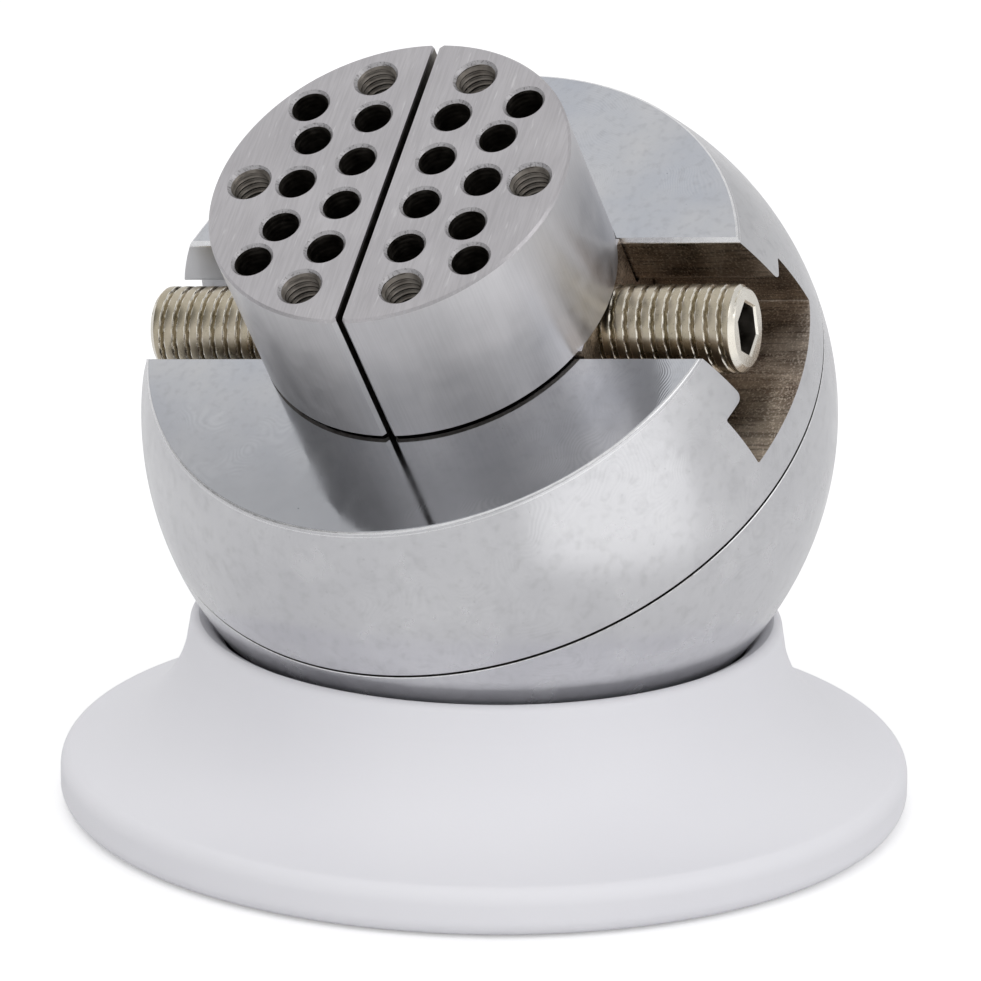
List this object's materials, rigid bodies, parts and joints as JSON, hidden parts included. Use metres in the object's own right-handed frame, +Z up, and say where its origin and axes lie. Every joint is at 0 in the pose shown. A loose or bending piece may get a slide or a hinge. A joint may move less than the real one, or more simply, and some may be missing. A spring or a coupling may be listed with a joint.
{
  "type": "ball vise",
  "caption": "Bench vise with a split steel ball that tilts and swivels in a ring base, and two pin-hole jaws that a left-and-right-hand screw opens and closes.",
  "frame": {"origin": "centre of the base's underside, on the table", "axes": "+Z up; the picture's camera looks along +Y, with +X to its right"},
  "size_m": [0.1232, 0.1232, 0.1127],
  "materials": {
    "base_plastic": "smooth matte moulding",
    "rubber": "matte",
    "ball_steel": "polished",
    "jaw_steel": "ground",
    "plug_steel": "turned",
    "turned_steel": "turned",
    "bearing_steel": "ground",
    "ball_bearing_steel": "polished",
    "cage_brass": "machined",
    "plated_steel": "nickel plated",
    "black_steel": "black oxide",
    "nylon": "natural"
  },
  "bodies": {
    "base": {"base": "base_plastic"},
    "seat": {"seat_ring": "rubber"},
    "ball": {"lower_ball": "ball_steel", "bottom_plug": "plug_steel", "drag_screw": "black_steel", "drag_pad": "nylon", "upper_bearing_outer_ring": "bearing_steel", "lower_bearing_outer_ring": "bearing_steel"},
    "upper_rollers": {"upper_bearing_cage": "cage_brass", "upper_bearing_balls": "ball_bearing_steel"},
    "lower_rollers": {"lower_bearing_cage": "cage_brass", "lower_bearing_balls": "ball_bearing_steel"},
    "head": {"upper_ball": "ball_steel", "spindle": "turned_steel", "spindle_screws": "black_steel", "upper_bearing_inner_ring": "bearing_steel", "lower_bearing_inner_ring": "bearing_steel", "bearing_spacer": "turned_steel", "lock_washer": "turned_steel", "lock_nut": "turned_steel", "screw_yoke": "turned_steel", "yoke_screws": "black_steel"},
    "screw": {"jaw_screw": "plated_steel"},
    "right_jaw": {"jaw_right": "jaw_steel"},
    "left_jaw": {"jaw_left": "jaw_steel"}
  },
  "joints": [
    {"name": "ball_swivel", "type": "hinge", "parent": "base", "child": "seat", "pos_m": [0, 0, 0.0575], "axis": [0, 0, 1], "continuous": true},
    {"name": "ball_tilt", "type": "hinge", "parent": "seat", "child": "ball", "pos_m": [0, 0, 0.0575], "axis": [0.8499, -0.527, 0], "range_deg": [-79.4, 10.6]},
    {"name": "head_turn", "type": "hinge", "parent": "ball", "child": "head", "pos_m": [0, 0, 0.0575], "axis": [-0.2977, -0.4802, 0.8251], "continuous": true},
    {"name": "upper_rollers_orbit", "type": "hinge", "parent": "ball", "child": "upper_rollers", "pos_m": [0, 0, 0.0575], "axis": [-0.2977, -0.4802, 0.8251], "continuous": true},
    {"name": "lower_rollers_orbit", "type": "hinge", "parent": "ball", "child": "lower_rollers", "pos_m": [0, 0, 0.0575], "axis": [-0.2977, -0.4802, 0.8251], "continuous": true},
    {"name": "jaw_screw_turn", "type": "hinge", "parent": "head", "child": "screw", "pos_m": [-0.00542, -0.00874, 0.07252], "axis": [0.923, -0.3655, 0.1204], "range_deg": [-3151, 73]},
    {"name": "right_jaw_slide", "type": "slide", "parent": "head", "child": "right_jaw", "axis": [0.923, -0.3655, 0.1204], "range_m": [-0.0004, 0.0175]},
    {"name": "left_jaw_slide", "type": "slide", "parent": "head", "child": "left_jaw", "axis": [-0.923, 0.3655, -0.1204], "range_m": [-0.00041, 0.01751]}
  ],
  "couplings": [
    {"joint": "upper_rollers_orbit", "follows": "head_turn", "ratio": 0.39758},
    {"joint": "lower_rollers_orbit", "follows": "head_turn", "ratio": 0.42982},
    {"joint": "jaw_screw_turn", "follows": "right_jaw_slide", "rad_per_m": -3141.6},
    {"joint": "left_jaw_slide", "follows": "right_jaw_slide", "ratio": 1}
  ]
}
